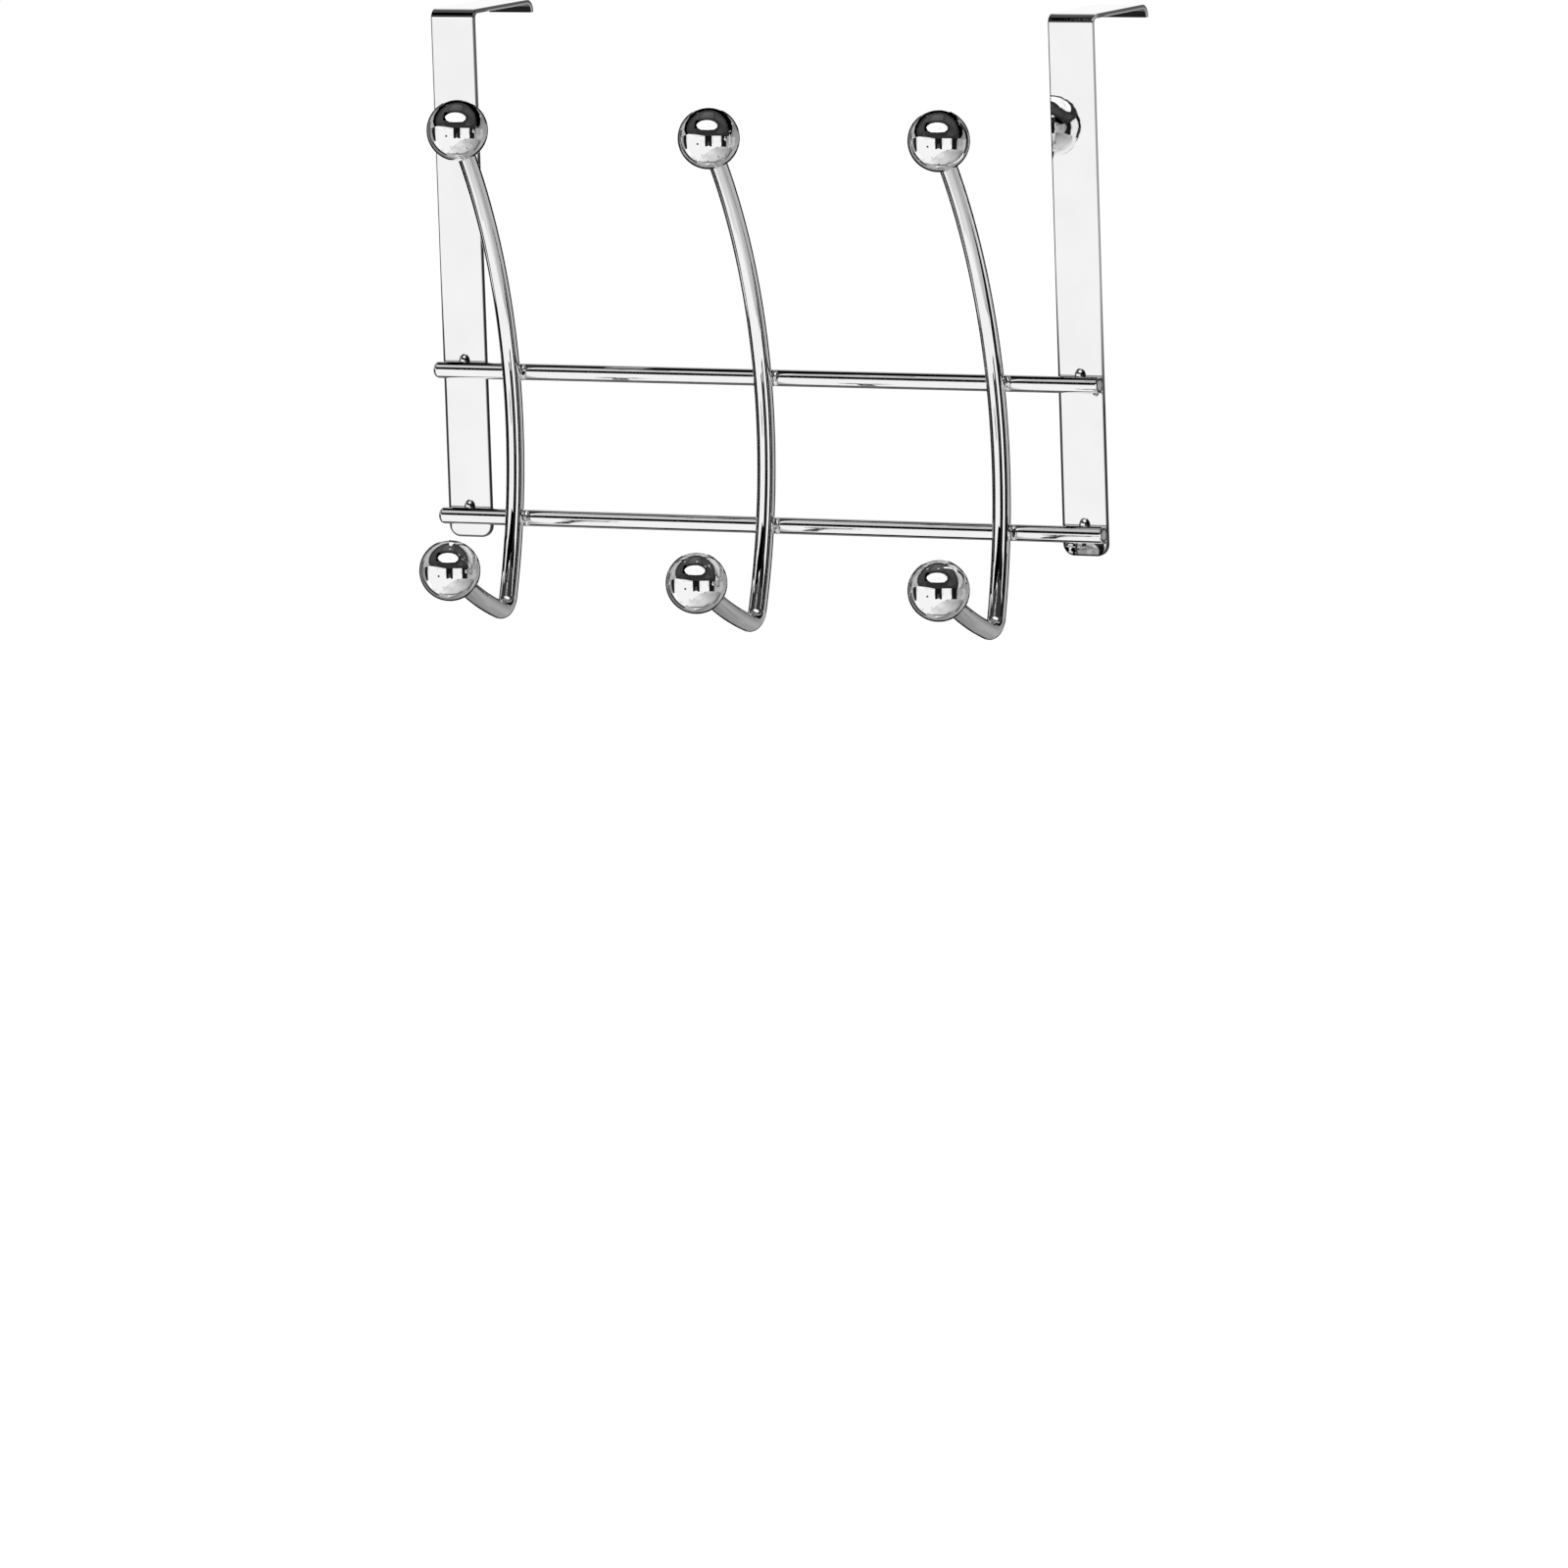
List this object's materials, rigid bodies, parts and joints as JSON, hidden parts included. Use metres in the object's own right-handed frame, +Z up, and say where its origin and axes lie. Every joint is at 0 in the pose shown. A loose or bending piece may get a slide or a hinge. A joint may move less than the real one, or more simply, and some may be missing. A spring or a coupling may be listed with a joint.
{
  "type": "over door hook",
  "caption": "Over-door hook rack: flat straps hang on a door's top edge, two round rails cross them, and bent wire hooks with ball ends stand out above and below.",
  "frame": {"origin": "on the front top edge of the door, midway between the two straps: the legs' backs lie on Y = 0 and the undersides of the tabs on Z = 0", "axes": "+X along the rails, to the right seen from the front; +Y back into the door; +Z up"},
  "size_m": [0.2431, 0.1048, 0.2004],
  "materials": {
    "straps": "polished chrome plate on flat steel strip",
    "rails": "polished chrome plate on steel rod",
    "hooks": "polished chrome plate on steel wire",
    "balls": "mirror-polished chrome plate"
  },
  "bodies": {
    "root": {"strap_left": "straps", "strap_right": "straps", "upper_rail": "rails", "lower_rail": "rails", "hook_left": "hooks", "hook_middle": "hooks", "hook_right": "hooks", "ball_upper_left": "balls", "ball_upper_middle": "balls", "ball_upper_right": "balls", "ball_lower_left": "balls", "ball_lower_middle": "balls", "ball_lower_right": "balls"}
  },
  "joints": []
}
